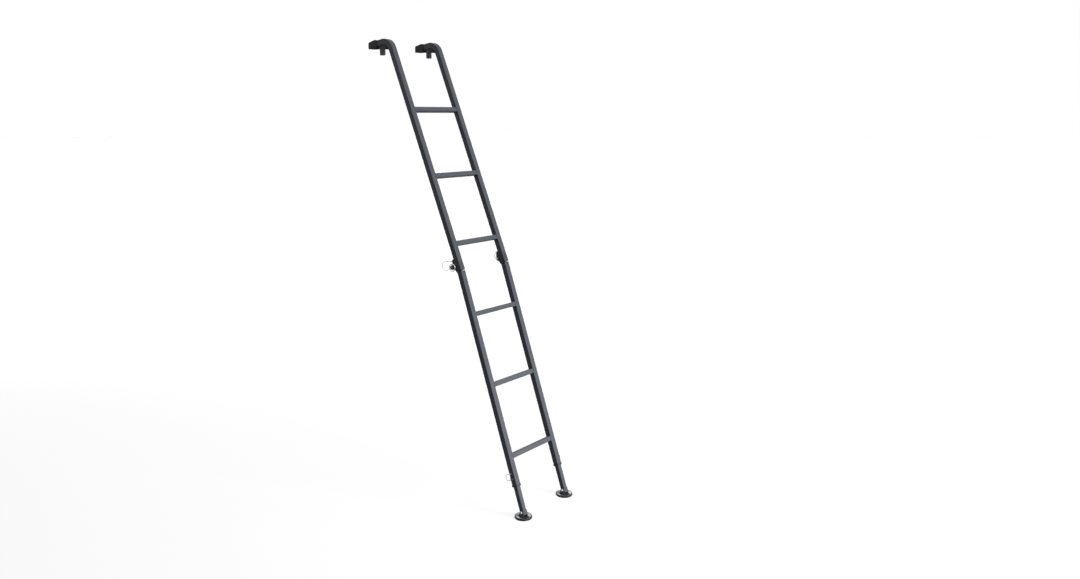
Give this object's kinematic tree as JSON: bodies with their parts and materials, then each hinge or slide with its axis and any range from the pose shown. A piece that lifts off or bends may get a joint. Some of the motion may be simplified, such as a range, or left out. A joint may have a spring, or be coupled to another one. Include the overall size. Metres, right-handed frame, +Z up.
{
  "type": "folding vehicle ladder",
  "caption": "Folding aluminium ladder with square rails that hooks over a roof rack, with pin hinges, telescoping legs and swivelling round feet.",
  "frame": {"origin": "on the flat underside of the left hook's rubber boot, where it rests on the rack, in the middle of the boot", "axes": "X along the rungs with the right rail at +X, Y towards the vehicle, Z up; the ladder stands as in use, leaning, with its feet on the ground below"},
  "size_m": [0.3474, 0.9025, 1.9423],
  "materials": {
    "powder_coat": "satin charcoal-black powder coat with a fine orange-peel texture",
    "cast_black": "black coated casting",
    "rubber": "black moulded rubber",
    "black_knob": "blackened steel pin with a satin knob",
    "steel": "bright zinc-plated steel",
    "wire": "twisted stainless wire",
    "bush": "black moulded plastic",
    "foot_metal": "pressed steel, black with worn bright edges"
  },
  "bodies": {
    "upper_half": {"upper_rail_left": "powder_coat", "upper_rail_right": "powder_coat", "hook_left": "powder_coat", "hook_right": "powder_coat", "hook_bumper_left": "rubber", "hook_bumper_right": "rubber", "hook_boot_left": "rubber", "hook_boot_right": "rubber", "top_rung": "powder_coat", "second_rung": "powder_coat", "third_rung": "powder_coat", "upper_knuckle_left": "cast_black", "upper_knuckle_right": "cast_black", "hinge_pin_left": "black_knob", "hinge_pin_right": "black_knob", "pull_ring_left": "steel", "pull_ring_right": "steel", "hinge_lanyard_left": "wire", "hinge_lanyard_right": "wire"},
    "lower_half": {"lower_rail_left": "powder_coat", "lower_rail_right": "powder_coat", "fourth_rung": "powder_coat", "fifth_rung": "powder_coat", "sixth_rung": "powder_coat", "lower_knuckle_left": "cast_black", "lower_knuckle_right": "cast_black", "rail_bush_left": "bush", "rail_bush_right": "bush", "leg_pin_left": "black_knob", "leg_pin_right": "black_knob", "lanyard_stud_left": "steel", "lanyard_stud_right": "steel", "leg_lanyard_left": "wire", "leg_lanyard_right": "wire"},
    "leg_left": {"leg_left": "powder_coat", "ankle_bolt_left": "steel"},
    "leg_right": {"leg_right": "powder_coat", "ankle_bolt_right": "steel"},
    "foot_left": {"foot_left": "foot_metal", "foot_sole_left": "rubber"},
    "foot_right": {"foot_right": "foot_metal", "foot_sole_right": "rubber"}
  },
  "joints": [
    {"name": "fold", "type": "hinge", "parent": "upper_half", "child": "lower_half", "pos_m": [0.1375, -0.4746, -0.90599], "axis": [1, 0, 0], "range_deg": [-3.5, 165]},
    {"name": "leg_slide_left", "type": "slide", "parent": "lower_half", "child": "leg_left", "axis": [0, -0.3322, -0.9432], "range_m": [-0.085, 0.18]},
    {"name": "foot_swivel_left", "type": "hinge", "parent": "leg_left", "child": "foot_left", "pos_m": [0, -0.84155, -1.87725], "axis": [1, 0, 0], "range_deg": [-60, 30]},
    {"name": "leg_slide_right", "type": "slide", "parent": "lower_half", "child": "leg_right", "axis": [0, -0.3322, -0.9432], "range_m": [-0.085, 0.18]},
    {"name": "foot_swivel_right", "type": "hinge", "parent": "leg_right", "child": "foot_right", "pos_m": [0.275, -0.84155, -1.87725], "axis": [1, 0, 0], "range_deg": [-60, 30]}
  ]
}
